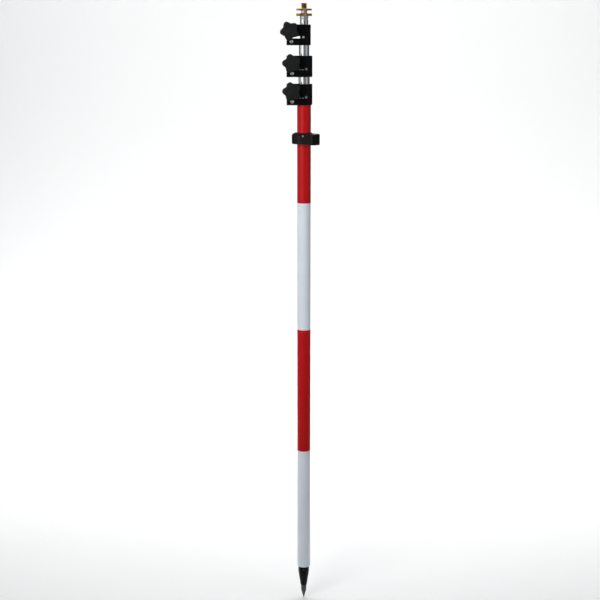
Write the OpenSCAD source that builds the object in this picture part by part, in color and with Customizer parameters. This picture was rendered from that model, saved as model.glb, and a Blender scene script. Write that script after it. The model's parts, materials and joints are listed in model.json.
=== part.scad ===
// Telescopic prism pole for surveying: a steel-pointed outer tube with red and white bands,
// three inner tubes that slide out of it, a quick clamp with a star knob at each joint,
// an adjustable head with a brass stud, and a bull's-eye level on a sliding collar.
// Millimetres. The origin is the tip of the point, the pole stands along +Z,
// and the knobs and the level face -Y.

/* [Outer tube] */
// Length of one painted band
band_len = 304.8; // [280:0.1:305]
// Height of the point, from its tip to the end of the outer tube
point_len = 87.6; // [84:0.1:92]
// Outside diameter of the outer tube
tube_d = 31.75; // [31.5:0.05:32]
// Wall of the outer tube
tube_wall = 1.65; // [1.5:0.05:1.7]
// Thickness of the red film bands
film_t = 0.1; // [0.08:0.01:0.12]

/* [Inner tubes] */
// Outside diameter of the largest inner tube
inner_1_d = 25.8; // [25.7:0.1:26]
// Outside diameter of the middle inner tube
inner_2_d = 23.5; // [23.3:0.1:23.5]
// Outside diameter of the smallest inner tube
inner_3_d = 19; // [18.8:0.05:19.2]
// Wall of the largest inner tube
inner_1_wall = 0.85; // [0.8:0.05:0.85]
// Wall of the middle inner tube
inner_2_wall = 1; // [0.9:0.05:1.1]
// Wall of the smallest inner tube
inner_3_wall = 1.2; // [1:0.05:1.2]
// Diameter of the detent holes
detent_hole_d = 2.6; // [2.4:0.1:2.8]

/* [Clamps] */
// Height of the lowest clamp's underside above the tip
clamp_1_z = 1228.8; // [1220:0.1:1240]
// Length of the largest inner tube that shows between the clamps
gap_1 = 15.8; // [15:0.1:25]
// Length of the middle inner tube that shows between the clamps
gap_2 = 23.4; // [23:0.1:30]
// Height of the two larger clamps
clamp_h = 47.6; // [46:0.1:49]
// Height of the top clamp
top_clamp_h = 46.1; // [45:0.1:48]
// Radius of the round side of the two larger clamps
clamp_r = 19; // [18.6:0.1:19.5]
// Radius of the round side of the top clamp
top_clamp_r = 15.2; // [15:0.1:16]
// Reach of the clamping ears from the pole's axis
ear_reach = 40; // [39.6:0.1:41]
// Height of the saw cut between jaw and seat in the larger clamps
saw_cut = 1.6; // [1.2:0.1:2]
// Height of the same slot in the top clamp
top_slot = 5; // [4:0.1:5]
// Radial gap between a jaw or bush and the tube that slides in it
run_fit = 0.05; // [0.03:0.01:0.08]

/* [Star knobs] */
// Radius to the tip of a lobe
knob_tip_r = 21.9; // [20:0.1:22.5]
// Radius to the valley between two lobes
knob_valley_r = 16.7; // [15:0.1:17.5]
// Number of lobes
knob_lobes = 5; // [5:1:7]
// Thickness of the star
knob_t = 12; // [11.5:0.1:14]

/* [Head] */
// Length of tube and collar between the top clamp and the lock nut
gap_3 = 18.7; // [18:0.1:24]
// Diameter of the brass lock nut
lock_nut_d = 35.6; // [30:0.1:36]
// Thickness of the lock nut
lock_nut_t = 5.5; // [5:0.1:7]
// Diameter of the adjusting shaft
shaft_d = 14; // [13.5:0.1:14.2]
// Length of the shaft that shows above the lock nut
shaft_show = 6.7; // [6:0.1:20]
// Diameter of the flange under the prism
flange_d = 35.4; // [30:0.1:36]
// Thickness of that flange
flange_t = 4.1; // [3.5:0.1:6]
// Diameter of the stud that carries the prism
stud_d = 13; // [12:0.1:13.5]
// Height of the stud above its flange
stud_h = 12.2; // [11:0.1:16]

/* [Level] */
// Height of the level's underside above the tip
level_z = 1140; // [1020:1:1150]
// Height of the level's ring and arm
level_h = 25.2; // [24.5:0.1:28]
// Radius of the ring that goes round the pole
level_ring_r = 26; // [25:0.1:27]
// Width of the arm that carries the level's vial
level_arm_w = 28; // [27:0.1:31]
// Distance from the pole's axis to the vial's axis, along the arm
level_reach = 38.9; // [38:0.1:44]

/* [Hidden] */
$fn = 96;
eps = 0.01;       // overlap of two shapes that are joined into one solid
over = 2;         // length of a cutting tool outside the solid it cuts

STAGES = [1, 2, 3];

// The four tubes, from the outer tube (0) to the smallest (3)
member_d = [tube_d, inner_1_d, inner_2_d, inner_3_d];
member_wall = [tube_wall, inner_1_wall, inner_2_wall, inner_3_wall];
function member_id(i) = member_d[i] - 2 * member_wall[i];

// The three clamps; stage s holds tube s in the top of tube s - 1
clamp_r_of = [clamp_r, clamp_r, top_clamp_r];
clamp_h_of = [clamp_h, clamp_h, top_clamp_h];
clamp_2_z = clamp_1_z + clamp_h + gap_1;
clamp_3_z = clamp_2_z + clamp_h + gap_2;
clamp_z_of = [clamp_1_z, clamp_2_z, clamp_3_z];
slot_h_of = [saw_cut, saw_cut, top_slot];
seat_tube = 12;        // how far the lower tube goes up into a clamp
bush_flange = 0.8;     // flange of the top bush, on the end of that tube
seat_h = seat_tube + bush_flange;
slot_z_of = [16.2, 16.2, 17.6];   // middle of the slot above the clamp's underside
slot_end_of = [-1, -1, -8];       // where the slot stops
relief_hole_d = 4.4;              // hole that a saw cut runs through
relief_hole_x = -6.7;
relief_hole_z = 17.9;
slit = 2;              // vertical slit between the two ears
clamp_chamfer = 0.8;
ear_corner = 3;
bush_len = 22;

// Foot of each inner tube: where the tube starts, and the bush below it
foot_z_of = [150, 200, 246];
foot_flange = 10;
foot_spigot = 15;
foot_bore = 12;

// Knob, its bolt and washer, measured from the clamp's front face
knob_x_of = [-28.2, -28.2, -32.8];
knob_z_of = [31, 30.4, 31.9];  // height of the knob's axis above the clamp's underside
knob_turn_of = [32, 32, 45];   // angle of the first lobe
washer_t = 1.5;
washer_d = 13;
hub_t = 2.5;
hub_d = 20;
cap_t = 1.2;
cap_d = 17;
bolt_d = 6;
bolt_len = 11.5;
bolt_head_across = 10;
bolt_head_t = 4;
bolt_pocket = 3.2;
insert_d = 10;
insert_len = 11;
knob_bore = 12.5;

// Pinch screw that holds a clamp on the tube below it
pinch_x_of = [-27, -27, -28.6];
pinch_z = 8.4;
pinch_d = 5;
pinch_head_d = 8.8;
pinch_head_t = 5;
pinch_sink = 3.6;
pinch_key = 4;

// Detent plunger
plunger_az_of = [14, 14, -6];   // angle round the pole from the front
plunger_z = 18;
plunger_d = 5;
plunger_slot_w = 0.7;           // screwdriver slot across its outer end
plunger_slot_t = 0.4;
plunger_proud = 1;
plunger_start = 0.8;            // from the tube's surface to the plunger
plunger_wall = 0.8;
ball_d = 2.5;
ball_gap = 0.3;
ball_travel = 0.8;
spring_d = 2.3;
spring_id = 1.5;

// Detent holes, a band length apart down each inner tube
detent_top_of = [clamp_1_z - 253, clamp_2_z + 51.8, clamp_3_z - 253];

// Foot of the pole
plug_len = 30;
spigot_d = 15.875;
spigot_len = 27;
tip_len = 35.5;
tip_stud_d = 8;
tip_stud_len = 18;
tip_collar_r = 6.7;              // the collar that the wrench flats are cut on
tip_flat = 5.6;                  // from the axis to a flat
tip_flat_z = 24.5;
tip_flat_h = 8.5;
point_low_r = 7.9;               // radius of the black body at its lower end
point_top_r = 13.35;
point_cone_z = 72;               // where its cone becomes a cylinder
point_edge = 0.6;
point_screw_z = 79;
point_screw_d = 5;
point_key = 2.9;
point_key_depth = 2.1;

// Head
top_z = clamp_3_z + top_clamp_h;
nut_z = top_z + gap_3;
collar_h = 7.6;
joint_z = nut_z - collar_h;
joint_cut = 0.9;                 // groove under the collar
bush_spigot = 36;
shaft_below = 40;
stud_z = nut_z + lock_nut_t + shaft_show;
shaft_tang_d = 8;
shaft_tang_h = 9.8;
head_screw_z = top_z + 4.5;
head_screw_az = 11;
head_screw_d = 3;
head_key = 1.7;
head_key_depth = 1.1;
brass_edge = 0.7;                // chamfer of the brass discs
stud_neck_h = 2.6;
stud_neck_cut = 0.45;

// Level holder and its sprung liner
liner_t = 1.4;
liner_slit = 2;
liner_flange_t = 0.8;
liner_flange_w = 1.2;
liner_gap = 0.3;
ring_shift = 2.5;
arm_turn = -45;
arm_shift = -9.2;                // how far the arm's centreline misses the pole's axis
arm_corner = 11.5;
ring_edge = 1;                   // chamfer under the ring
ring_shoulder = 7;             // wide chamfer on top of it
ring_shoulder_h = 5.5;
arm_drop = 0.5;                  // how much lower the arm is than the ring
arm_edge = 1.2;                  // chamfer round the arm, above and below
pocket_r = 12.2;
ledge_r = 8.9;
ledge_h = 14.6;                  // ledge above the holder's underside
pocket_floor = 5;
case_r = 8.5;
case_drop = 6;                   // how far the case hangs below the ledge
case_floor_t = 1.5;
case_rim_gap = 1;                // from the case's rim up to the holder's top
glass_r = 7.6;
fluid_z = ledge_h - case_drop + case_floor_t;
fluid_h = 8;
dome_r = 30;
dome_h = 5.2;                    // height of the glass at its middle
seat_ring_t = 3;
case_flange_t = 2;
adjust_r = 10.5;
adjust_d = 2;
adjust_count = 3;
adjust_drop = 5;                 // depth of a screw's end below the ledge
adjust_shank = 10;
adjust_head_d = 3;
adjust_head_t = 1.2;
adjust_slot_w = 0.4;
adjust_slot_t = 0.5;
lock_screw_az = -7.5;
lock_screw_z = 19.2;
lock_screw_d = 3;
lock_head_d = 4.4;
lock_head_t = 2.4;
lock_key = 2.2;
lock_key_depth = 1.2;
lock_recess_d = 8.4;
lock_head_sink = 3.6;

// ---- helpers -------------------------------------------------------------

// A round bar along -Y, from distance a to distance b in front of the pole's axis
module bar_y(x, z, a, b, d, sides = 96)
    translate([x, -a, z]) rotate([90, 0, 0]) cylinder(d = d, h = b - a, $fn = sides);

// A round tube along Z
module tube_z(d_out, d_in, z_from, z_to)
    translate([0, 0, z_from]) difference() {
        cylinder(d = d_out, h = z_to - z_from);
        translate([0, 0, -over]) cylinder(d = d_in, h = z_to - z_from + 2 * over);
    }

// Moves a thing up to clamp s
module at_clamp(s)
    translate([0, 0, clamp_z_of[s - 1]]) children();

// Points of a rounded corner, from angle a over a quarter turn
function corner(x, y, r, a) =
    [for (i = [0 : 8]) [x + r * cos(a + i * 90 / 8), y + r * sin(a + i * 90 / 8)]];

// A rounded rectangle from (x0, y0) to (x1, y1)
function rounded(x0, y0, x1, y1, r) = concat(
    corner(x1 - r, y1 - r, r, 0), corner(x0 + r, y1 - r, r, 90),
    corner(x0 + r, y0 + r, r, 180), corner(x1 - r, y0 + r, r, 270));

// ---- foot of the pole ----------------------------------------------------

module point_tip() color("#4a4b4d")
    difference() {
        rotate_extrude() polygon([
            [0, 0], [0.4, 0], [1.2, 3], [3.2, 9.3], [4.2, 13], [4.6, 15], [5.7, 17.5], [6.2, 20.5],
            [6.5, 24], [tip_collar_r, 30], [tip_collar_r, tip_len], [tip_stud_d / 2, tip_len],
            [tip_stud_d / 2, tip_len + tip_stud_len - 1],
            [tip_stud_d / 2 - 1, tip_len + tip_stud_len], [0, tip_len + tip_stud_len]]);
        for (side = [0, 180])
            rotate([0, 0, side]) translate([-tip_stud_d, tip_flat, tip_flat_z])
                cube([2 * tip_stud_d, over, tip_flat_h]);
    }

module point_body() color("#1b1b1d")
    difference() {
        rotate_extrude() polygon([
            [0, tip_len], [point_low_r - point_edge / 2, tip_len],
            [point_low_r, tip_len + point_edge], [point_top_r - 0.2, point_cone_z - 1],
            [point_top_r, point_cone_z + 1], [point_top_r, point_len - point_edge],
            [point_top_r - point_edge, point_len], [0, point_len]]);
        translate([0, 0, tip_len - over])
            cylinder(d = tip_stud_d, h = tip_stud_len + 2 * over);
        translate([0, 0, point_len - spigot_len]) cylinder(d = spigot_d, h = spigot_len + over);
        bar_y(0, point_screw_z, 0, point_top_r + over, point_screw_d);
    }

module point_set_screw() color("#55565a")
    difference() {
        bar_y(0, point_screw_z, spigot_d / 2, point_top_r - 0.3, point_screw_d);
        bar_y(0, point_screw_z, point_top_r - 0.3 - point_key_depth, point_top_r + over,
              point_key, 6);
    }

module lower_plug() color("#b9bcc0")
    rotate_extrude() polygon([
        [0, point_len - spigot_len + 0.5], [spigot_d / 2 - 1, point_len - spigot_len + 0.5],
        [spigot_d / 2, point_len - spigot_len + 1.5], [spigot_d / 2, point_len],
        [member_id(0) / 2, point_len], [member_id(0) / 2, point_len + plug_len],
        [0, point_len + plug_len]]);

module outer_tube() color("#e6ebf0")
    tube_z(tube_d, member_id(0), point_len, clamp_1_z + seat_tube);

module red_bands() color("#b3171d")
    for (band = [1, 3])
        tube_z(tube_d + 2 * film_t, tube_d, point_len + band * band_len,
               min(point_len + (band + 1) * band_len, clamp_1_z - 0.2));

// ---- telescope -----------------------------------------------------------

module inner_tube(s) color("#c9ccd0") {
    top = s < 3 ? clamp_z_of[s] + seat_tube : joint_z;
    difference() {
        tube_z(member_d[s], member_id(s), foot_z_of[s - 1], top);
        for (z = [detent_top_of[s - 1] : -band_len : foot_z_of[s - 1] + 3 * foot_spigot])
            rotate([0, 0, plunger_az_of[s - 1]])
                bar_y(0, z, 0, member_d[s] / 2 + over, detent_hole_d);
        if (s == 3)
            rotate([0, 0, head_screw_az])
                bar_y(0, head_screw_z, 0, member_d[s] / 2 + over, head_screw_d);
    }
}

module foot_bush(s) color("#d8d6cf") {
    z = foot_z_of[s - 1];
    flange_r = member_id(s - 1) / 2 - run_fit;
    spigot_r = member_id(s) / 2;
    translate([0, 0, z]) rotate_extrude() polygon([
        [foot_bore / 2, -foot_flange], [flange_r - 0.8, -foot_flange],
        [flange_r, 0.8 - foot_flange], [flange_r, 0], [spigot_r, 0],
        [spigot_r, foot_spigot], [foot_bore / 2, foot_spigot]]);
}

module top_bush(s) color("#d8d6cf") {
    bore_r = member_d[s] / 2 + run_fit;
    sleeve_r = member_id(s - 1) / 2;
    flange_r = member_d[s - 1] / 2 - 0.2;
    at_clamp(s) translate([0, 0, seat_tube]) rotate_extrude() polygon([
        [bore_r, -bush_len], [sleeve_r, -bush_len], [sleeve_r, 0],
        [flange_r, 0], [flange_r, bush_flange], [bore_r, bush_flange]]);
}

// ---- clamps --------------------------------------------------------------

// Half of a chamfered cylinder, on the +X side
module round_side(r, h)
    rotate([0, 0, -90]) rotate_extrude(angle = 180) polygon([
        [0, 0], [r - clamp_chamfer, 0], [r, clamp_chamfer], [r, h - clamp_chamfer],
        [r - clamp_chamfer, h], [0, h]]);

// The ears: a chamfered bar with rounded upright corners at its far end
module ears(r, h)
    intersection() {
        translate([-ear_reach, 0, 0]) rotate([90, 0, 90]) linear_extrude(ear_reach) polygon([
            [clamp_chamfer - r, 0], [r - clamp_chamfer, 0], [r, clamp_chamfer],
            [r, h - clamp_chamfer], [r - clamp_chamfer, h], [clamp_chamfer - r, h],
            [-r, h - clamp_chamfer], [-r, clamp_chamfer]]);
        translate([0, 0, -over]) linear_extrude(h + 2 * over) polygon(concat(
            [[over, -r - over], [over, r + over], [ear_corner - ear_reach, r + over]],
            corner(ear_corner - ear_reach, r - ear_corner, ear_corner, 90),
            corner(ear_corner - ear_reach, ear_corner - r, ear_corner, 180),
            [[ear_corner - ear_reach, -r - over]]));
    }

module clamp_body(s) color("#17181a") {
    r = clamp_r_of[s - 1];
    h = clamp_h_of[s - 1];
    slot_h = slot_h_of[s - 1];
    slot_z = slot_z_of[s - 1];
    at_clamp(s) difference() {
        union() {
            round_side(r, h);
            ears(r, h);
        }
        // seat on the lower tube, and the jaw's bore round the sliding tube
        translate([0, 0, -over]) cylinder(d = member_d[s - 1], h = seat_h + over);
        cylinder(d = member_d[s] + 2 * run_fit, h = h + over);
        // the slit between the ears, and the slot that frees the jaw from the seat
        translate([-ear_reach - over, -slit / 2, -over])
            cube([ear_reach + over - member_d[s] / 2 + 1, slit, h + 2 * over]);
        translate([-ear_reach - over, -r - over, slot_z - slot_h / 2])
            cube([ear_reach + over + slot_end_of[s - 1], 2 * (r + over), slot_h]);
        if (slot_h < relief_hole_d)
            bar_y(relief_hole_x, relief_hole_z, 0, r + over, relief_hole_d);
        // pinch screw: clearance in front, thread behind
        bar_y(pinch_x_of[s - 1], pinch_z, 0, r + over, pinch_d + 0.3);
        bar_y(pinch_x_of[s - 1], pinch_z, r - pinch_sink, r + over, pinch_head_d + 0.4);
        bar_y(pinch_x_of[s - 1], pinch_z, 4 - r, 0, pinch_d);
        // knob bolt and the pocket of its hexagon head
        bar_y(knob_x_of[s - 1], knob_z_of[s - 1], -r - over, r + over, bolt_d + 0.3);
        bar_y(knob_x_of[s - 1], knob_z_of[s - 1], -r - over, bolt_pocket - r,
              (bolt_head_across + 0.2) / cos(30), 6);
        // detent plunger
        rotate([0, 0, plunger_az_of[s - 1]])
            bar_y(0, plunger_z, 0, r + over, plunger_d);
    }
}

module pinch_screw(s) color("#b8bbc0") {
    r = clamp_r_of[s - 1];
    head_from = r - pinch_sink;
    x = pinch_x_of[s - 1];
    at_clamp(s) difference() {
        union() {
            bar_y(x, pinch_z, 5 - r, head_from + eps, pinch_d);
            bar_y(x, pinch_z, head_from, head_from + pinch_head_t, pinch_head_d);
        }
        bar_y(x, pinch_z, head_from + pinch_head_t - 2.6, head_from + pinch_head_t + over,
              pinch_key / cos(30), 6);
    }
}

module clamp_bolt(s) color("#a9acb1") {
    r = clamp_r_of[s - 1];
    x = knob_x_of[s - 1];
    head_in = bolt_pocket - r;
    at_clamp(s) union() {
        bar_y(x, knob_z_of[s - 1], head_in - bolt_head_t, head_in, bolt_head_across / cos(30), 6);
        bar_y(x, knob_z_of[s - 1], head_in - eps, r + bolt_len, bolt_d);
    }
}

module knob_washer(s) color("#c3c6ca") {
    r = clamp_r_of[s - 1];
    x = knob_x_of[s - 1];
    at_clamp(s) difference() {
        bar_y(x, knob_z_of[s - 1], r, r + washer_t, washer_d);
        bar_y(x, knob_z_of[s - 1], r - over, r + washer_t + over, bolt_d + 0.4);
    }
}

// Outline of the star: a radius that swings between valley and tip
function star_r(a) =
    knob_valley_r + (knob_tip_r - knob_valley_r) * pow((1 + cos(knob_lobes * a)) / 2, 0.85);
star_points = [for (a = [0 : 3 : 357]) star_r(a) * [cos(a), sin(a)]];

module star_knob(s) color("#232524") {
    r = clamp_r_of[s - 1];
    hub_from = r + washer_t;
    star_from = hub_from + hub_t;
    star_to = star_from + knob_t;
    x = knob_x_of[s - 1];
    at_clamp(s) difference() {
        union() {
            bar_y(x, knob_z_of[s - 1], hub_from, star_from + eps, hub_d);
            translate([x, -star_from, knob_z_of[s - 1]])
                rotate([90, 0, 0]) rotate([0, 0, knob_turn_of[s - 1]])
                    linear_extrude(knob_t) polygon(star_points);
            bar_y(x, knob_z_of[s - 1], star_to - eps, star_to + cap_t, cap_d);
        }
        bar_y(x, knob_z_of[s - 1], hub_from - over, hub_from + insert_len, insert_d);
        bar_y(x, knob_z_of[s - 1], hub_from, hub_from + knob_bore, bolt_d + 0.6);
    }
}

module knob_insert(s) color("#b08a3e") {
    hub_from = clamp_r_of[s - 1] + washer_t;
    x = knob_x_of[s - 1];
    at_clamp(s) difference() {
        bar_y(x, knob_z_of[s - 1], hub_from, hub_from + insert_len, insert_d);
        bar_y(x, knob_z_of[s - 1], hub_from - over, hub_from + insert_len + over, bolt_d + 2 * run_fit);
    }
}

// ---- detent plungers -----------------------------------------------------

module plunger_body(s) color("#d0d3d7") {
    from = member_d[s] / 2 + plunger_start;
    to = clamp_r_of[s - 1] + plunger_proud;
    at_clamp(s) rotate([0, 0, plunger_az_of[s - 1]]) difference() {
        bar_y(0, plunger_z, from, to, plunger_d);
        bar_y(0, plunger_z, from - over, to - plunger_wall, ball_d + 2 * run_fit);
        translate([-plunger_d, -to - over, plunger_z - plunger_slot_w / 2])
            cube([2 * plunger_d, over + plunger_slot_t, plunger_slot_w]);
    }
}

module detent_ball(s) color("#e4e6e8")
    at_clamp(s) rotate([0, 0, plunger_az_of[s - 1]])
        translate([0, -(member_d[s] / 2 + ball_gap + ball_d / 2), plunger_z]) sphere(d = ball_d);

module detent_spring(s) color("#8d9094") {
    from = member_d[s] / 2 + ball_gap + 0.9 * ball_d;
    to = clamp_r_of[s - 1] + plunger_proud - plunger_wall - ball_travel - 0.2;
    at_clamp(s) rotate([0, 0, plunger_az_of[s - 1]]) difference() {
        bar_y(0, plunger_z, from, to, spring_d);
        bar_y(0, plunger_z, from - over, to + over, spring_id);
    }
}

// ---- head ----------------------------------------------------------------

module head_bush() color("#c9ccd0")
    difference() {
        rotate_extrude() polygon([
            [shaft_d / 2 + run_fit, joint_z - bush_spigot],
            [member_id(3) / 2, joint_z - bush_spigot],
            [member_id(3) / 2, joint_z], [inner_3_d / 2 - joint_cut, joint_z],
            [inner_3_d / 2 - joint_cut, joint_z + 1], [inner_3_d / 2, joint_z + 1 + joint_cut],
            [inner_3_d / 2, nut_z],
            [shaft_d / 2 + run_fit, nut_z]]);
        rotate([0, 0, head_screw_az]) bar_y(0, head_screw_z, 0, inner_3_d, head_screw_d);
    }

module head_screw() color("#3a3b3e")
    rotate([0, 0, head_screw_az]) difference() {
        bar_y(0, head_screw_z, shaft_d / 2 + 0.2, inner_3_d / 2 - 0.1, head_screw_d);
        bar_y(0, head_screw_z, inner_3_d / 2 - 0.1 - head_key_depth, inner_3_d, head_key, 6);
    }

module lock_nut() color("#b5893b")
    translate([0, 0, nut_z]) rotate_extrude() polygon([
        [shaft_d / 2 + run_fit, 0], [lock_nut_d / 2 - brass_edge, 0], [lock_nut_d / 2, brass_edge],
        [lock_nut_d / 2, lock_nut_t - brass_edge], [lock_nut_d / 2 - brass_edge, lock_nut_t],
        [shaft_d / 2 + run_fit, lock_nut_t]]);

module tip_shaft() color("#c2c6cc")
    rotate_extrude() polygon([
        [0, nut_z - shaft_below], [shaft_d / 2 - 1, nut_z - shaft_below],
        [shaft_d / 2, nut_z - shaft_below + 1], [shaft_d / 2, stud_z],
        [shaft_tang_d / 2, stud_z], [shaft_tang_d / 2, stud_z + shaft_tang_h],
        [0, stud_z + shaft_tang_h]]);

module prism_stud() color("#b5893b")
    translate([0, 0, stud_z]) rotate_extrude() polygon([
        [shaft_tang_d / 2, 0], [flange_d / 2 - brass_edge, 0], [flange_d / 2, brass_edge],
        [flange_d / 2, flange_t - brass_edge], [flange_d / 2 - brass_edge, flange_t],
        [stud_d / 2 - stud_neck_cut, flange_t],
        [stud_d / 2 - stud_neck_cut, flange_t + stud_neck_h],
        [stud_d / 2, flange_t + stud_neck_h + stud_neck_cut],
        [stud_d / 2, flange_t + stud_h - brass_edge], [stud_d / 2 - brass_edge, flange_t + stud_h],
        [0, flange_t + stud_h], [0, shaft_tang_h], [shaft_tang_d / 2, shaft_tang_h]]);

// ---- level ---------------------------------------------------------------

pole_r = tube_d / 2 + film_t;
liner_r = pole_r + run_fit + liner_t;

// Puts a thing on the vial's own axis, at the holder's underside
module at_vial()
    translate([0, 0, level_z]) rotate([0, 0, arm_turn])
        translate([level_reach, arm_shift, 0]) children();

module vial_liner() color("#e3e0d6")
    translate([0, 0, level_z]) difference() {
        rotate_extrude() polygon([
            [pole_r + run_fit, 0], [liner_r + liner_flange_w, 0],
            [liner_r + liner_flange_w, liner_flange_t], [liner_r, liner_flange_t],
            [liner_r, level_h - liner_flange_t],
            [liner_r + liner_flange_w, level_h - liner_flange_t],
            [liner_r + liner_flange_w, level_h], [pole_r + run_fit, level_h]]);
        translate([-liner_slit / 2, 0, -over]) cube([liner_slit, tube_d, level_h + 2 * over]);
    }

// The ring round the pole, with chamfered rims
module level_ring()
    translate([-ring_shift, 0, 0]) rotate_extrude() polygon([
        [0, 0], [level_ring_r - ring_edge, 0], [level_ring_r, ring_edge],
        [level_ring_r, level_h - ring_shoulder_h],
        [level_ring_r - 0.35 * ring_shoulder, level_h - 0.4 * ring_shoulder_h],
        [level_ring_r - ring_shoulder, level_h], [0, level_h]]);

// The round-ended arm that carries the vial, with chamfered edges
module level_arm()
    rotate([0, 0, arm_turn]) translate([0, arm_shift, 0]) hull()
        for (cut = [0, arm_edge])
            translate([0, 0, arm_edge - cut]) linear_extrude(level_h - arm_drop - 2 * (arm_edge - cut))
                polygon(rounded(cut, cut - level_arm_w / 2, level_reach + level_arm_w / 2 - cut,
                                level_arm_w / 2 - cut, arm_corner));

module vial_holder() color("#1a1b1d") {
    recess = liner_flange_t + liner_gap;
    difference() {
        translate([0, 0, level_z]) difference() {
            union() {
                level_ring();
                level_arm();
            }
            translate([0, 0, -over]) cylinder(r = liner_r + run_fit, h = level_h + 2 * over);
            for (z = [-over, level_h - recess])
                translate([0, 0, z])
                    cylinder(r = liner_r + liner_flange_w + liner_gap,
                             h = z < 0 ? over + recess : recess + over);
            rotate([0, 0, lock_screw_az]) {
                bar_y(0, lock_screw_z, 0, level_ring_r + over, lock_screw_d);
                bar_y(0, lock_screw_z, level_ring_r - lock_head_sink, level_reach + level_arm_w,
                      lock_recess_d);
            }
        }
        at_vial() {
            translate([0, 0, ledge_h]) cylinder(r = pocket_r, h = level_h);
            translate([0, 0, pocket_floor]) cylinder(r = ledge_r, h = level_h);
            adjusting_places() translate([0, 0, ledge_h - adjust_drop - 1])
                cylinder(d = adjust_d, h = level_h);
        }
    }
}

module vial_lock_screw() color("#c3c6ca")
    translate([0, 0, level_z]) rotate([0, 0, lock_screw_az]) {
        head_from = level_ring_r - lock_head_sink;
        difference() {
            union() {
                bar_y(0, lock_screw_z, liner_r + liner_gap, head_from + eps, lock_screw_d);
                bar_y(0, lock_screw_z, head_from, head_from + lock_head_t, lock_head_d);
            }
            bar_y(0, lock_screw_z, head_from + lock_head_t - lock_key_depth,
                  head_from + lock_head_t + over, lock_key, 6);
        }
    }

module adjusting_places()
    for (i = [0 : adjust_count - 1])
        rotate([0, 0, 90 + i * 360 / adjust_count]) translate([adjust_r, 0, 0]) children();

module vial_seat_ring() color("#202123")
    at_vial() translate([0, 0, ledge_h]) difference() {
        cylinder(r = pocket_r - 0.15, h = seat_ring_t);
        translate([0, 0, -over]) cylinder(r = ledge_r + 0.1, h = seat_ring_t + 2 * over);
        adjusting_places() translate([0, 0, -over]) cylinder(d = adjust_d, h = seat_ring_t + 2 * over);
    }

module vial_case() color("#9a9da1")
    at_vial() difference() {
        rotate_extrude() polygon([
            [0, ledge_h - case_drop], [case_r, ledge_h - case_drop],
            [case_r, ledge_h + seat_ring_t], [pocket_r - 0.2, ledge_h + seat_ring_t],
            [pocket_r - 0.2, ledge_h + seat_ring_t + case_flange_t],
            [case_r, ledge_h + seat_ring_t + case_flange_t],
            [case_r, level_h - case_rim_gap], [glass_r, level_h - case_rim_gap],
            [glass_r, fluid_z], [0, fluid_z]]);
        adjusting_places() translate([0, 0, ledge_h]) cylinder(d = adjust_d, h = level_h);
    }

module vial_fluid() color("#b9d437")
    at_vial() translate([0, 0, fluid_z]) cylinder(r = glass_r, h = fluid_h);

module vial_lens() color("#dfeaf0")
    at_vial() translate([0, 0, fluid_z + fluid_h]) intersection() {
        cylinder(r = glass_r, h = dome_h + 1);
        translate([0, 0, dome_h - dome_r]) sphere(r = dome_r, $fn = 200);
    }

module vial_adjusting_screws() color("#c9a24a")
    at_vial() adjusting_places() translate([0, 0, ledge_h - adjust_drop]) difference() {
        union() {
            cylinder(d = adjust_d, h = adjust_shank + eps);
            translate([0, 0, adjust_shank]) cylinder(d = adjust_head_d, h = adjust_head_t);
        }
        translate([-adjust_head_d, -adjust_slot_w / 2, adjust_shank + adjust_head_t - adjust_slot_t])
            cube([2 * adjust_head_d, adjust_slot_w, over]);
    }

// ---- drawing -------------------------------------------------------------

point_tip();
point_body();
point_set_screw();
lower_plug();
outer_tube();
red_bands();
head_bush();
head_screw();
lock_nut();
tip_shaft();
prism_stud();
vial_liner();
vial_holder();
vial_lock_screw();
vial_seat_ring();
vial_case();
vial_fluid();
vial_lens();
vial_adjusting_screws();
for (s = STAGES) {
    inner_tube(s);
    foot_bush(s);
    top_bush(s);
    clamp_body(s);
    pinch_screw(s);
    clamp_bolt(s);
    knob_washer(s);
    star_knob(s);
    knob_insert(s);
    plunger_body(s);
    detent_spring(s);
    detent_ball(s);
}
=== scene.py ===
"""Prism pole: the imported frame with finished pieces, materials, floor, light and camera."""

import json
import math

import bmesh
import bpy
from mathutils import Matrix, Vector

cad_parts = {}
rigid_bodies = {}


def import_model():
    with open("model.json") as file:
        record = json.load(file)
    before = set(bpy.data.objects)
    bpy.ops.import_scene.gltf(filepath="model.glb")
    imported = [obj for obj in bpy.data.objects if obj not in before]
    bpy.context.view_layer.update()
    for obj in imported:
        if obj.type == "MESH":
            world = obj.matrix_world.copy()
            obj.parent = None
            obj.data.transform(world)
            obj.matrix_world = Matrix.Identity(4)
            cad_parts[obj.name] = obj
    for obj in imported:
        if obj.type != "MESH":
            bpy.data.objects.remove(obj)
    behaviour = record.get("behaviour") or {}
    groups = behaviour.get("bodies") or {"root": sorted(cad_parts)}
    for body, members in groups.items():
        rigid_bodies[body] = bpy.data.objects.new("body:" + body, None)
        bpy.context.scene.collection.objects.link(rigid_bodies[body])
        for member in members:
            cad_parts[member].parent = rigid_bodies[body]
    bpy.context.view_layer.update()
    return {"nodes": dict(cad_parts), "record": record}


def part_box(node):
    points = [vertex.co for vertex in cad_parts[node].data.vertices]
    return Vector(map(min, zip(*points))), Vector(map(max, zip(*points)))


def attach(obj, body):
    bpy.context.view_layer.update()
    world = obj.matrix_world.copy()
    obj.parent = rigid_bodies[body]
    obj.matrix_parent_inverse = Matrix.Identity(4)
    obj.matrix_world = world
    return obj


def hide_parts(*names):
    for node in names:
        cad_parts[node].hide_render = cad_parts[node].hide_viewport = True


for leftover in list(bpy.data.objects):
    bpy.data.objects.remove(leftover)

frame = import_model()

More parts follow.
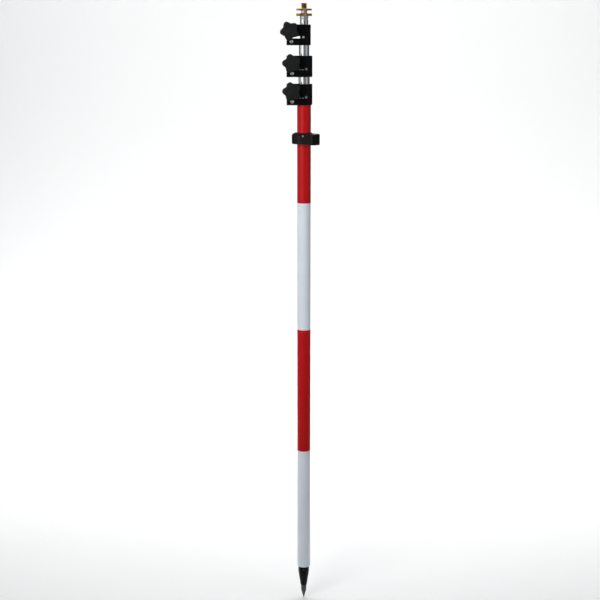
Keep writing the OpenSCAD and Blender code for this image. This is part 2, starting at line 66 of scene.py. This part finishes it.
MM = 0.001
STAGES = (1, 2, 3)
SHARP_EDGE = math.radians(32)
BROKEN_EDGE = math.radians(28)
SAME_FACE = math.radians(1.0)
SAME_PLACE = 0.002 * MM
FULL_TURN = 2 * math.pi
BODY_OF = {
    node: body
    for body, nodes in frame["record"]["behaviour"]["bodies"].items()
    for node in nodes
}


# ---- mesh helpers ------------------------------------------------------------


def put(thing):
    """Links an object to the scene."""
    bpy.context.scene.collection.objects.link(thing)
    return thing


def centre(node):
    """The middle of a CAD node's box."""
    low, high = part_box(node)
    return (low + high) / 2


def mark_sharp(mesh):
    """Smooth faces, with a crease wherever two of them meet at a real edge."""
    work = bmesh.new()
    work.from_mesh(mesh)
    for face in work.faces:
        face.smooth = True
    for edge in work.edges:
        edge.smooth = len(edge.link_faces) == 2 and edge.calc_face_angle(0) < SHARP_EDGE
    work.to_mesh(mesh)
    work.free()


def new_piece(name, mesh, material, body, replaced=()):
    """A finished mesh with its material and body, which hides the CAD nodes it stands for."""
    piece = put(bpy.data.objects.new(name, mesh))
    mesh.materials.clear()
    mesh.materials.append(material)
    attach(piece, body)
    if replaced:
        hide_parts(*replaced)
    return piece


def revolved(name, rings, steps, place):
    """A closed mesh turned round Z. A ring is (radius, z) or (radius, z, shape), and
    shape(angle, z) adds to the radius, for knurls, threads, sockets and lobes."""
    work = bmesh.new()
    rows = []
    for ring in rings:
        radius, z = ring[0], ring[1]
        shape = ring[2] if len(ring) > 2 else None
        if radius <= 0 and shape is None:
            rows.append([work.verts.new((0, 0, z))] * steps)
            continue
        row = []
        for i in range(steps):
            angle = FULL_TURN * i / steps
            r = radius + (shape(angle, z) if shape else 0)
            row.append(work.verts.new((r * math.cos(angle), r * math.sin(angle), z)))
        rows.append(row)
    closed = rows[0][0] is not rows[0][1] and rows[-1][0] is not rows[-1][1]
    pairs = list(zip(rows, rows[1:])) + ([(rows[-1], rows[0])] if closed else [])
    for lower, upper in pairs:
        for i in range(steps):
            j = (i + 1) % steps
            corners = [lower[i], lower[j], upper[j], upper[i]]
            unique = list(dict.fromkeys(corners))
            if len(unique) > 2:
                work.faces.new(unique)
    bmesh.ops.recalc_face_normals(work, faces=work.faces)
    bmesh.ops.transform(work, matrix=place, verts=work.verts)
    mesh = bpy.data.meshes.new(name)
    work.to_mesh(mesh)
    work.free()
    mark_sharp(mesh)
    return mesh


def turned_piece(name, rings, steps, place, material, body, replaced=()):
    """A finished piece whose mesh is turned from rings."""
    mesh = revolved(name, rings, steps, place)
    new_piece(name, mesh, material, body, replaced)


def facing(x, y, z, turn=0.0):
    """Places a thing turned round Z so that its +Z points at -Y from (x, y, z)."""
    return Matrix.Translation((x, y, z)) @ Matrix.Rotation(math.pi / 2, 4, "X") @ Matrix.Rotation(
        turn, 4, "Z"
    )


def softened(node, width, material):
    """Stands for a CAD node with a copy whose hard edges are broken by a small round."""
    mesh = frame["nodes"][node].data.copy()
    work = bmesh.new()
    work.from_mesh(mesh)
    bmesh.ops.remove_doubles(work, verts=work.verts, dist=SAME_PLACE)
    bmesh.ops.dissolve_limit(work, angle_limit=SAME_FACE, verts=work.verts, edges=work.edges)
    work.to_mesh(mesh)
    work.free()
    if mesh.has_custom_normals:
        mesh.normals_split_custom_set([(0, 0, 0)] * len(mesh.loops))
    piece = new_piece(node + "_finished", mesh, material, BODY_OF[node], (node,))
    bevel = piece.modifiers.new("broken_edges", "BEVEL")
    bevel.width = width
    bevel.segments = 2
    bevel.limit_method = "ANGLE"
    bevel.angle_limit = BROKEN_EDGE
    bevel.use_clamp_overlap = True
    bevel.harden_normals = False
    mark_sharp(mesh)


# ---- material helpers --------------------------------------------------------


class Maker:
    """A material under construction: its nodes, with short calls for the ones used here."""

    def __init__(self, name, **sockets):
        self.material = bpy.data.materials.new(name)
        self.material.use_nodes = True
        self.tree = self.material.node_tree
        self.shader = self.tree.nodes["Principled BSDF"]
        for socket, value in sockets.items():
            self.shader.inputs[socket.replace("_", " ")].default_value = value
        self.coordinates = self.tree.nodes.new("ShaderNodeTexCoord").outputs["Object"]

    def node(self, kind, links=None, **settings):
        made = self.tree.nodes.new(kind)
        for key, value in settings.items():
            setattr(made, key, value)
        for socket, value in (links or {}).items():
            if isinstance(value, bpy.types.NodeSocket):
                self.tree.links.new(value, made.inputs[socket])
            else:
                made.inputs[socket].default_value = value
        return made

    def stretched(self, x, y, z):
        """Object coordinates scaled along each axis, in cycles a metre."""
        return self.node(
            "ShaderNodeMapping", {"Vector": self.coordinates, "Scale": (x, y, z)}
        ).outputs["Vector"]

    def noise(self, scale, detail, roughness=0.55, vector=None):
        return self.node(
            "ShaderNodeTexNoise",
            {
                "Vector": vector or self.coordinates,
                "Scale": scale,
                "Detail": detail,
                "Roughness": roughness,
            },
        ).outputs["Fac"]

    def band(self, value, low, high, to_low=0.0, to_high=1.0):
        """Maps a stretch of a value onto a new range, clamped."""
        return self.node(
            "ShaderNodeMapRange",
            {0: value, 1: low, 2: high, 3: to_low, 4: to_high},
        ).outputs["Result"]

    def mix(self, factor, first, second):
        made = self.node("ShaderNodeMix", data_type="RGBA")
        for index, value in ((0, factor), (6, first), (7, second)):
            if isinstance(value, bpy.types.NodeSocket):
                self.tree.links.new(value, made.inputs[index])
            else:
                made.inputs[index].default_value = value
        return made.outputs[2]

    def math(self, operation, first, second):
        return self.node(
            "ShaderNodeMath", {0: first, 1: second}, operation=operation
        ).outputs["Value"]

    def colour(self, value):
        self.tree.links.new(value, self.shader.inputs["Base Color"])

    def roughness(self, value):
        self.tree.links.new(value, self.shader.inputs["Roughness"])

    def bump(self, height, distance, strength, after=None):
        made = self.node(
            "ShaderNodeBump", {"Height": height, "Distance": distance, "Strength": strength}
        )
        if after is not None:
            self.tree.links.new(after, made.inputs["Normal"])
        self.tree.links.new(made.outputs["Normal"], self.shader.inputs["Normal"])
        return made.outputs["Normal"]


def coat_paint(name, main, shade, roughness, shine):
    """Smooth powder coat: faint orange peel, slight changes of tone, and fine rubbing marks."""
    make = Maker(name, IOR=1.5, Specular_IOR_Level=shine)
    tone = make.band(make.noise(9, 3), 0.35, 0.7)
    rubbed = make.noise(1, 6, 0.7, make.stretched(260, 260, 14))
    make.colour(make.mix(tone, main, shade))
    make.roughness(make.band(rubbed, 0.35, 0.75, roughness - 0.05, roughness + 0.12))
    peel = make.bump(make.noise(750, 2), 0.03 * MM, 0.5)
    make.bump(make.band(rubbed, 0.62, 0.7), 0.01 * MM, 0.35, peel)
    return make.material


def drawn_aluminium(name, roughness):
    """Drawn and anodised tube: fine lines along the pole, and faint sliding marks."""
    make = Maker(name, Metallic=1.0, Anisotropic=0.35)
    lines = make.noise(1, 5, 0.65, make.stretched(2600, 2600, 18))
    slides = make.noise(1, 4, 0.6, make.stretched(500, 500, 4))
    make.colour(
        make.mix(make.band(slides, 0.3, 0.7), (0.86, 0.87, 0.89, 1), (0.72, 0.73, 0.75, 1))
    )
    make.roughness(make.band(lines, 0.3, 0.75, roughness - 0.05, roughness + 0.1))
    make.bump(lines, 0.004 * MM, 0.5)
    return make.material


def turned_metal(name, main, shade, roughness):
    """Metal off the lathe: very fine rings round the pole's axis, and a little staining."""
    make = Maker(name, Metallic=1.0)
    rings = make.noise(1, 3, 0.6, make.stretched(40, 40, 9000))
    stain = make.noise(160, 5, 0.65)
    make.colour(make.mix(make.band(stain, 0.3, 0.75), main, shade))
    make.roughness(make.band(stain, 0.3, 0.75, roughness - 0.05, roughness + 0.14))
    make.bump(rings, 0.004 * MM, 0.5)
    return make.material


def anodised_black(name, shine, wear, main, shade):
    """Black anodised aluminium: a satin bead-blasted skin, with its edges painted lighter grey in
    patches, partly as rubbed wear and partly as a painted edge highlight.
    """
    make = Maker(name, IOR=1.5, Specular_IOR_Level=shine)
    grain = make.noise(2600, 3)
    cloud = make.noise(60, 4)
    # painted edge highlight: the hard edges found by the Bevel node are mixed toward grey in noisy
    # patches, partly wear and partly painted highlight
    rounded = make.node("ShaderNodeBevel", {"Radius": 0.35 * MM}, samples=4).outputs["Normal"]
    plain = make.node("ShaderNodeNewGeometry").outputs["Normal"]
    along = make.node("ShaderNodeVectorMath", {0: rounded, 1: plain}, operation="DOT_PRODUCT")
    edge = make.band(along.outputs["Value"], 0.88, 0.99, 1.0, 0.0)
    edge_wear_and_highlight = make.math("MULTIPLY", edge, make.band(make.noise(420, 4), 0.42, 0.62))
    base = make.mix(make.band(cloud, 0.3, 0.7), shade, main)
    make.colour(make.mix(make.math("MULTIPLY", edge_wear_and_highlight, wear), base, (0.30, 0.30, 0.31, 1)))
    make.roughness(make.band(cloud, 0.3, 0.7, 0.30, 0.40))
    make.bump(grain, 0.006 * MM, 0.6)
    return make.material


def knob_plastic(name):
    """Moulded black nylon: a fine spark-eroded texture, with patches a little shinier than the
    rest.
    """
    make = Maker(name, IOR=1.46, Specular_IOR_Level=0.25)
    grain = make.noise(1500, 2)
    wear = make.noise(120, 4)
    make.colour(
        make.mix(make.band(wear, 0.35, 0.7), (0.007, 0.009, 0.008, 1), (0.011, 0.014, 0.012, 1))
    )
    make.roughness(make.band(wear, 0.3, 0.7, 0.42, 0.56))
    make.bump(grain, 0.03 * MM, 0.5)
    return make.material


def plain_nylon(name):
    """Natural nylon, a little translucent and yellowed."""
    make = Maker(name, IOR=1.53, Subsurface_Weight=0.15, Subsurface_Scale=0.002)
    cloud = make.noise(90, 4)
    make.colour(
        make.mix(make.band(cloud, 0.3, 0.7), (0.76, 0.74, 0.67, 1), (0.66, 0.63, 0.54, 1))
    )
    make.roughness(make.band(cloud, 0.3, 0.7, 0.38, 0.5))
    make.bump(make.noise(900, 2), 0.01 * MM, 0.4)
    return make.material


def black_rubber(name):
    make = Maker(name, IOR=1.5)
    grain = make.noise(1300, 3)
    make.colour(
        make.mix(make.band(grain, 0.3, 0.7), (0.012, 0.012, 0.012, 1), (0.022, 0.022, 0.022, 1))
    )
    make.roughness(make.band(grain, 0.3, 0.7, 0.7, 0.85))
    make.bump(grain, 0.02 * MM, 0.5)
    return make.material


def clear_glass(name):
    make = Maker(name, IOR=1.5, Transmission_Weight=1.0, Base_Color=(0.96, 0.99, 0.98, 1))
    make.roughness(make.band(make.noise(300, 3), 0.4, 0.8, 0.0, 0.03))
    return make.material


def level_liquid(name):
    """Yellow-green spirit, tinted so that the case's floor shines through it."""
    make = Maker(name, IOR=1.36, Transmission_Weight=0.85)
    cloud = make.noise(120, 2)
    make.colour(make.mix(cloud, (0.72, 0.92, 0.10, 1), (0.80, 0.96, 0.20, 1)))
    make.roughness(make.band(cloud, 0.3, 0.7, 0.02, 0.05))
    return make.material


def air_bubble(name):
    make = Maker(name, IOR=1.02, Transmission_Weight=0.6)
    cloud = make.noise(200, 2)
    make.colour(make.mix(cloud, (0.93, 0.98, 0.75, 1), (0.97, 1.0, 0.86, 1)))
    make.roughness(make.band(cloud, 0.3, 0.7, 0.03, 0.08))
    return make.material


WHITE = coat_paint("white_powder_coat", (0.74, 0.79, 0.85, 1), (0.69, 0.745, 0.81, 1), 0.3, 0.28)
RED = coat_paint("red_band", (0.50, 0.008, 0.010, 1), (0.44, 0.006, 0.008, 1), 0.34, 0.13)
TUBE = drawn_aluminium("drawn_aluminium", 0.2)
TURNED = turned_metal("turned_aluminium", (0.84, 0.84, 0.85, 1), (0.74, 0.74, 0.75, 1), 0.38)
STEEL = turned_metal("zinc_steel", (0.82, 0.82, 0.82, 1), (0.70, 0.70, 0.71, 1), 0.3)
BRASS = turned_metal("turned_brass", (0.56, 0.33, 0.09, 1), (0.40, 0.21, 0.045, 1), 0.38)
DARK_STEEL = turned_metal("blackened_steel", (0.10, 0.10, 0.105, 1), (0.055, 0.05, 0.05, 1), 0.34)
# the number after the shine (0.35 and 0.05) sets how strongly the edges are painted lighter, partly
# as wear and partly as painted highlight
BLACK = anodised_black(
    "black_anodised", 0.12, 0.35, (0.003, 0.0028, 0.0032, 1), (0.0012, 0.0011, 0.0012, 1)
)
HOLDER = anodised_black(
    "holder_anodised", 0.2, 0.05, (0.004, 0.0025, 0.003, 1), (0.002, 0.0012, 0.0014, 1)
)
KNOB = knob_plastic("knob_plastic")
NYLON = plain_nylon("natural_nylon")
RUBBER = black_rubber("black_rubber")
GLASS = clear_glass("level_glass")
LIQUID = level_liquid("level_liquid")
BUBBLE = air_bubble("level_bubble")

FINISH = {
    "white_paint": WHITE,
    "red_film": RED,
    "tube_aluminium": TUBE,
    "turned_aluminium": TURNED,
    "black_anodised": BLACK,
    "knob_plastic": KNOB,
    "steel": STEEL,
    "dark_steel": DARK_STEEL,
    "brass": BRASS,
    "nylon": NYLON,
    "seal_rubber": RUBBER,
    "level_glass": GLASS,
    "level_fluid": LIQUID,
}
SLOT_OF = {row["node"]: row["material_slot"] for row in frame["record"]["subparts"]}


def paint_cad_nodes():
    """Every CAD node that stays gets the material of its slot, except the level's liner, which gets
    the black knob plastic as painted shade in the holder's top recess.
    """
    for node, thing in frame["nodes"].items():
        thing.data.materials.clear()
        # painted shade: the liner is made black so that its flange darkens the holder's top recess
        thing.data.materials.append(KNOB if node == "vial_liner" else FINISH[SLOT_OF[node]])


# ---- clamps and knobs --------------------------------------------------------

KNOB_LOBES = 5
KNOB_TURNS = {1: 32, 2: 32, 3: 45}  # degrees
LOBE_TIP = 21.9 * MM
LOBE_VALLEY = 16.7 * MM


def lobes(share):
    """How far the star's outline stands out beyond its valleys, times a share."""

    def shape(angle, _z):
        swing = ((1 + math.cos(KNOB_LOBES * angle)) / 2) ** 0.85
        return share * (LOBE_TIP - LOBE_VALLEY) * swing

    return shape


def star_knob(stage):
    """Moulded star knob: pocketed back with a hub, rounded lobes, and a sunk ring round the cap."""
    node = f"star_knob_{stage}"
    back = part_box(node)[1].y
    axis = centre(f"knob_insert_{stage}")
    hub = 2.5 * MM
    star = 12 * MM
    hole = 5.02 * MM
    v = LOBE_VALLEY

    def ring(radius, height, share=0.0):
        return (radius, height, lobes(share)) if share else (radius, height)

    rings = [
        ring(0, 8.8 * MM),
        ring(hole, 8.6 * MM),
        ring(hole, 0.4 * MM - hub),
        ring(hole + 0.4 * MM, -hub),
        ring(9.4 * MM, -hub),
        ring(9.85 * MM, 0.2 * MM - hub),
        ring(10 * MM, 0.7 * MM - hub),
        ring(10.1 * MM, 3.6 * MM),
        ring(10.4 * MM, 4.3 * MM),
        ring(11.1 * MM, 4.6 * MM),
        ring(v - 4.6 * MM, 4.6 * MM, 0.55),
        ring(v - 3.7 * MM, 4.3 * MM, 0.72),
        ring(v - 3.2 * MM, 3.5 * MM, 0.80),
        ring(v - 3.0 * MM, 0.5 * MM, 0.82),
        ring(v - 2.7 * MM, 0.12 * MM, 0.85),
        ring(v - 2.3 * MM, 0.0, 0.88),
    ]
    back_round, front_round, steps = 1.6 * MM, 3.4 * MM, 6
    for i in range(steps + 1):
        turn = math.pi / 2 * i / steps
        inset = back_round * (1 - math.sin(turn))
        rings.append(ring(v - inset, back_round * (1 - math.cos(turn)), 1 - 0.06 * (1 - i / steps)))
    for i in range(steps + 1):
        turn = math.pi / 2 * i / steps
        inset = front_round * (1 - math.cos(turn))
        height = star - 0.35 * MM - front_round * (1 - math.sin(turn))
        rings.append(ring(v - inset, height, 1 - 0.16 * (i / steps) ** 2))
    rings += [
        ring(v - 5.0 * MM, star - 0.1 * MM, 0.55),
        ring(v - 6.4 * MM, star, 0.2),
        ring(9.2 * MM, star),
        ring(8.95 * MM, star - 0.1 * MM),
        ring(8.75 * MM, star - 0.8 * MM),
        ring(8.35 * MM, star - 0.8 * MM),
        ring(8.2 * MM, star + 0.2 * MM),
        ring(7.9 * MM, star + 0.55 * MM),
        ring(7.2 * MM, star + 0.75 * MM),
        ring(5.0 * MM, star + 1.0 * MM),
        ring(2.5 * MM, star + 1.13 * MM),
        ring(0, star + 1.17 * MM),
    ]
    turn = math.radians(KNOB_TURNS[stage])
    place = facing(axis.x, back - hub, axis.z, turn)
    turned_piece(
        node + "_moulded", rings, 40 * KNOB_LOBES, place,
        KNOB, f"knob_{stage}", (node,),
    )


def hexagon(across):
    """The radius of a hexagon, as a shape added to a zero radius."""

    def shape(angle, _z):
        return across / 2 / math.cos((angle + math.pi / 6) % (math.pi / 3) - math.pi / 6)

    return shape


def knurl(teeth, depth):
    """A straight knurl: sharp V grooves cut into the radius."""

    def shape(angle, _z):
        saw = (angle * teeth / FULL_TURN) % 1
        return -depth * abs(2 * saw - 1)

    return shape


def pinch_screw(stage):
    """Socket head cap screw with a knurled head."""
    node = f"pinch_screw_{stage}"
    low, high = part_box(node)
    head = (high.z - low.z) / 2
    face = high.y - low.y
    head_h = 5 * MM
    shank = 2.5 * MM
    teeth = knurl(36, 0.18 * MM)
    socket = hexagon(4 * MM)
    rings = [
        (0, 0),
        (shank - 0.5 * MM, 0),
        (shank, 0.5 * MM),
        (shank, face - head_h),
        (head - 0.5 * MM, face - head_h),
        (head - 0.2 * MM, face - head_h + 0.3 * MM),
        (head, face - head_h + 0.5 * MM, teeth),
        (head, face - 1.3 * MM, teeth),
        (head - 0.12 * MM, face - 1.1 * MM),
        (head - 0.32 * MM, face - 0.66 * MM),
        (head - 0.66 * MM, face - 0.32 * MM),
        (head - 1.1 * MM, face - 0.1 * MM),
        (head - 1.5 * MM, face),
        (2.62 * MM, face),
        (0.08 * MM, face - 0.18 * MM, socket),
        (0, face - 0.3 * MM, socket),
        (0, face - 2.5 * MM, socket),
        (1.6 * MM, face - 2.7 * MM),
        (0, face - 3.3 * MM),
    ]
    axis = centre(node)
    place = facing(axis.x, high.y, axis.z)
    turned_piece(node + "_turned", rings, 144, place, STEEL, BODY_OF[node], (node,))


def clamp_set(stage):
    softened(f"clamp_body_{stage}", 0.5 * MM, BLACK)
    softened(f"knob_washer_{stage}", 0.15 * MM, STEEL)
    softened(f"clamp_bolt_{stage}", 0.25 * MM, STEEL)
    softened(f"plunger_body_{stage}", 0.12 * MM, STEEL)
    star_knob(stage)
    pinch_screw(stage)


# ---- head --------------------------------------------------------------------

RIM_TEETH = 110
RIM_DEPTH = 0.35 * MM


def knurled_rim(radius, height, chamfer):
    """Rings of a knurled rim between two chamfers, from its lower edge to its upper one."""
    cut = knurl(RIM_TEETH, RIM_DEPTH)
    return [
        (radius - chamfer, 0),
        (radius - 0.25 * chamfer, 0.6 * chamfer),
        (radius, chamfer, cut),
        (radius, height - chamfer, cut),
        (radius - 0.25 * chamfer, height - 0.6 * chamfer),
        (radius - chamfer, height),
    ]


def lock_nut():
    """Brass disc with a straight knurl and a turned recess on top."""
    low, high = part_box("lock_nut")
    radius = (high.x - low.x) / 2
    height = high.z - low.z
    bore = 7.05 * MM
    rings = [(bore, 0.3 * MM), (bore + 0.3 * MM, 0)]
    rings += knurled_rim(radius, height, 0.8 * MM)
    rings += [
        (radius - 2.2 * MM, height),
        (radius - 2.5 * MM, height - 0.35 * MM),
        (bore + 1.9 * MM, height - 0.35 * MM),
        (bore + 1.6 * MM, height),
        (bore + 0.4 * MM, height),
        (bore, height - 0.4 * MM),
    ]
    place = Matrix.Translation((0, 0, low.z))
    turned_piece(
        "lock_nut_knurled", rings, 4 * RIM_TEETH, place, BRASS, "head_nut", ("lock_nut",)
    )


def thread(pitch, depth, low, high):
    """A right-hand V thread, cut into the radius and fading in at both ends."""

    def shape(angle, z):
        phase = (z / pitch - angle / FULL_TURN) % 1
        from_end = max(0.0, min(z - low, high - z))
        fade = min(1.0, from_end / (0.5 * pitch))
        return -depth * fade * min(1.0, 1.15 * (1 - abs(2 * phase - 1)))

    return shape


def prism_stud():
    """Brass flange with a knurled rim, and the threaded stud that the prism screws onto."""
    low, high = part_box("prism_stud")
    radius = (high.x - low.x) / 2
    height = high.z - low.z
    flange = 4.1 * MM
    neck = 2.6 * MM
    stud = 6.5 * MM
    pitch = 1.954 * MM
    start = flange + neck
    top = height - 1.0 * MM
    cut = thread(pitch, 1.0 * MM, start, top + 0.3 * MM)
    bore, bore_h = 4.0 * MM, 9.8 * MM
    rings = [(0, bore_h), (bore, bore_h), (bore, 0.3 * MM), (4.3 * MM, 0)]
    rings += knurled_rim(radius, flange, 0.7 * MM)
    rings += [
        (stud + 0.5 * MM, flange),
        (stud - 0.75 * MM, flange + 0.4 * MM),
        (stud - 0.9 * MM, flange + 1.0 * MM),
        (stud - 0.9 * MM, start - 0.4 * MM),
    ]
    thread_rows = 60
    for i in range(thread_rows + 1):
        rings.append((stud, start + (top - start) * i / thread_rows, cut))
    rings += [
        (stud - 0.25 * MM, top + 0.3 * MM),
        (stud - 0.95 * MM, height),
        (1.6 * MM, height),
        (1.2 * MM, height - 0.35 * MM),
        (0, height - 0.5 * MM),
    ]
    place = Matrix.Translation((0, 0, low.z))
    turned_piece(
        "prism_stud_threaded", rings, 4 * RIM_TEETH, place,
        BRASS, "head_tip", ("prism_stud",),
    )


def head():
    softened("head_bush", 0.2 * MM, TURNED)
    softened("tip_shaft", 0.2 * MM, TURNED)
    lock_nut()
    prism_stud()


# ---- level -------------------------------------------------------------------


def level():
    softened("vial_holder", 0.35 * MM, HOLDER)
    softened("vial_case", 0.15 * MM, TURNED)
    softened("vial_lock_screw", 0.15 * MM, STEEL)
    softened("vial_adjusting_screws", 0.1 * MM, BRASS)
    low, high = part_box("vial_fluid")
    middle = (low + high) / 2
    radius = (high.x - low.x) / 2 - 0.05 * MM
    height = high.z - low.z - 0.08 * MM
    place = Matrix.Translation((middle.x, middle.y, low.z + 0.03 * MM))
    liquid = [
        (0, 0),
        (radius - 0.3 * MM, 0),
        (radius, 0.3 * MM),
        (radius, height - 0.1 * MM),
        (radius - 0.1 * MM, height),
        (0, height),
    ]
    turned_piece(
        "level_liquid", liquid, 96, place, LIQUID, "level", ("vial_fluid",)
    )
    bubble_r, bubble_h = 2.7 * MM, 1.0 * MM
    rows = 12
    bubble = []
    for i in range(rows + 1):
        turn = math.pi * i / rows
        reach = bubble_r * math.sin(turn) if 0 < i < rows else 0
        bubble.append((reach, -bubble_h * math.cos(turn)))
    top = high.z - 0.3 * MM - bubble_h
    place = Matrix.Translation((middle.x + 0.5 * MM, middle.y - 0.3 * MM, top))
    turned_piece("level_bubble", bubble, 64, place, BUBBLE, "level")
    circle_r, line = 3.4 * MM, 0.14 * MM
    circle = [
        (circle_r - line, 0),
        (circle_r + line, 0),
        (circle_r + line, 0.05 * MM),
        (circle_r - line, 0.05 * MM),
    ]
    place = Matrix.Translation((middle.x, middle.y, high.z - 0.12 * MM))
    turned_piece("level_circle", circle, 96, place, RUBBER, "level")


# ---- foot --------------------------------------------------------------------


def foot():
    softened("point_body", 0.25 * MM, BLACK)
    softened("point_tip", 0.15 * MM, DARK_STEEL)
    softened("point_set_screw", 0.15 * MM, DARK_STEEL)


# ---- studio ------------------------------------------------------------------


def staged(name, mesh, material):
    """An object of the set, which is no part of the pole."""
    mesh.materials.append(material)
    thing = put(bpy.data.objects.new(name, mesh))
    return thing


def studio_paper(name, value):
    make = Maker(name, IOR=1.3, Roughness=0.9)
    cloud = make.noise(2, 3)
    make.colour(
        make.mix(cloud, (value, value, value, 1), (value * 0.99, value * 0.99, value * 0.99, 1))
    )
    return make.material


def backdrop():
    """A pale floor that rises behind the pole in one wide curve."""
    width, near, far, rise, radius = 3.0, -1.2, 3.2, 5.0, 1.6
    outline = [(near, 0.0), (far - radius, 0.0)]
    steps = 24
    for i in range(1, steps + 1):
        turn = math.pi / 2 * i / steps
        outline.append((far - radius + radius * math.sin(turn), radius - radius * math.cos(turn)))
    outline.append((far, rise))
    mesh = bpy.data.meshes.new("studio_floor")
    points = [(x, y, z) for y, z in outline for x in (-width, width)]
    faces = [(2 * i, 2 * i + 1, 2 * i + 3, 2 * i + 2) for i in range(len(outline) - 1)]
    mesh.from_pydata(points, [], faces)
    for face in mesh.polygons:
        face.use_smooth = True
    staged("studio_floor", mesh, studio_paper("studio_paper", 0.93))


def surround():
    """A white shell far outside the set, seen only by the camera, so all sides show white."""
    radius = 16
    paper = Maker("studio_surround", Roughness=1.0, Specular_IOR_Level=0.0, Emission_Strength=1.0)
    cloud = paper.noise(0.2, 2)
    paper.colour(paper.mix(cloud, (0, 0, 0, 1), (0.001, 0.001, 0.001, 1)))
    paper.shader.inputs["Emission Color"].default_value = (1, 1, 1, 1)
    paper.material.cycles.emission_sampling = "NONE"
    work = bmesh.new()
    bmesh.ops.create_uvsphere(work, u_segments=48, v_segments=24, radius=radius)
    mesh = bpy.data.meshes.new("studio_surround")
    work.to_mesh(mesh)
    work.free()
    shell = staged("studio_surround", mesh, paper.material)
    shell.visible_diffuse = False
    shell.visible_glossy = False
    shell.visible_transmission = False
    shell.visible_shadow = False


def soft_light(
    name, place, target, size, power, tint=(1, 1, 1), spread=180, mirrored=True, lit=True
):
    """A rectangular soft box. mirrored: shiny things reflect it. lit: it lights matt things."""
    data = bpy.data.lights.new(name, "AREA")
    data.shape = "RECTANGLE"
    data.size, data.size_y = size
    data.energy = power
    data.color = tint
    data.spread = math.radians(spread)
    lamp = put(bpy.data.objects.new(name, data))
    lamp.visible_glossy = mirrored
    lamp.visible_diffuse = lit
    lamp.location = place
    lamp.rotation_euler = (Vector(target) - Vector(place)).to_track_quat("-Z", "Y").to_euler()


def flag(name, tone, *corners):
    """A grey card that keeps the glare of the sweep or the floor off the pole."""
    mesh = bpy.data.meshes.new(name)
    mesh.from_pydata(corners, [], [(0, 1, 2, 3)])
    card = staged(name, mesh, studio_paper(name, tone))
    card.visible_camera = False
    card.visible_shadow = False
    return card


def flags():
    """Upright cards beside and behind the pole, seen only in reflections, and one on the floor."""
    side_tone, back_tone, floor_tone = 0.05, 0.04, 0.36
    low, back_low, top = 0.02, 1.15, 3.0
    near, far, wide = 0.25, 2.6, 0.95
    for side, name in ((-1, "left_flag"), (1, "right_flag")):
        inner, outer = side * 0.75, side * wide
        corners = (inner, near, low), (outer, far, low), (outer, far, top), (inner, near, top)
        flag(name, side_tone, *corners).visible_diffuse = False
    corners = (-wide, far, back_low), (wide, far, back_low), (wide, far, top), (-wide, far, top)
    flag("back_flag", back_tone, *corners).visible_diffuse = False
    side, edge, front = 1.6, -0.06, -3
    corners = (-side, edge, low), (side, edge, low), (side, front, low), (-side, front, low)
    flag("floor_flag", floor_tone, *corners)


def lights():
    world = bpy.data.worlds.new("studio_world")
    world.use_nodes = True
    background = world.node_tree.nodes["Background"]
    background.inputs["Color"].default_value = (0.92, 0.96, 1.0, 1)
    background.inputs["Strength"].default_value = 0.17
    bpy.context.scene.world = world
    cool, warm = (0.93, 0.96, 1.0), (1.0, 0.99, 0.97)
    pole, wide_card = (0, 0, 1.2), (1.5, 2.2)
    # the two that light the paint, kept out of reflections
    for name, place, target, size, power, tint in (
        ("key_light", (-1.0, -1.5, 1.7), pole, (1.2, 2.0), 11.0, warm),
        ("fill_light", (1.6, -0.95, 1.7), (0, 0, 1.1), (1.0, 2.0), 3, cool),
    ):
        soft_light(name, place, target, size, power, tint, 90, mirrored=False)
    # the three that shiny metal reflects, and nothing else
    for name, place, target, size, power, tint in (
        ("left_strip", (-1.75, -2.1, 1.3), pole, (2.0, 1.8), 17, warm),
        ("right_card", (2.1, -1.45, 1.3), pole, wide_card, 3.4, cool),
        ("left_card", (-2.55, 0.1, 1.3), pole, wide_card, 5, cool),
    ):
        soft_light(name, place, target, size, power, tint, lit=False)
    # the floor's and the wall's own
    soft_light("top_light", (0, 1.5, 3.6), (0, 1.5, 0), (4.2, 2.4), 16, spread=50)
    soft_light("back_light", (0, 0.9, 3.4), (0, 3.2, 1.3), (5.0, 0.8), 92)
    flags()


def camera():
    """A long lens level with the pole's head, looking a little down."""
    data = bpy.data.cameras.new("view")
    data.sensor_width = 36
    data.lens = 71.6
    data.clip_start = 0.01
    look_down = 12.5
    eye = put(bpy.data.objects.new("view", data))
    eye.location = (-0.0093, -2.781, 1.385)
    eye.rotation_euler = (math.radians(90 - look_down), 0, 0)
    bpy.context.scene.camera = eye


# ---- the whole ---------------------------------------------------------------

bpy.context.scene.view_settings.view_transform = "Standard"
paint_cad_nodes()
for stage in STAGES:
    clamp_set(stage)
head()
level()
foot()
backdrop()
surround()
lights()
camera()
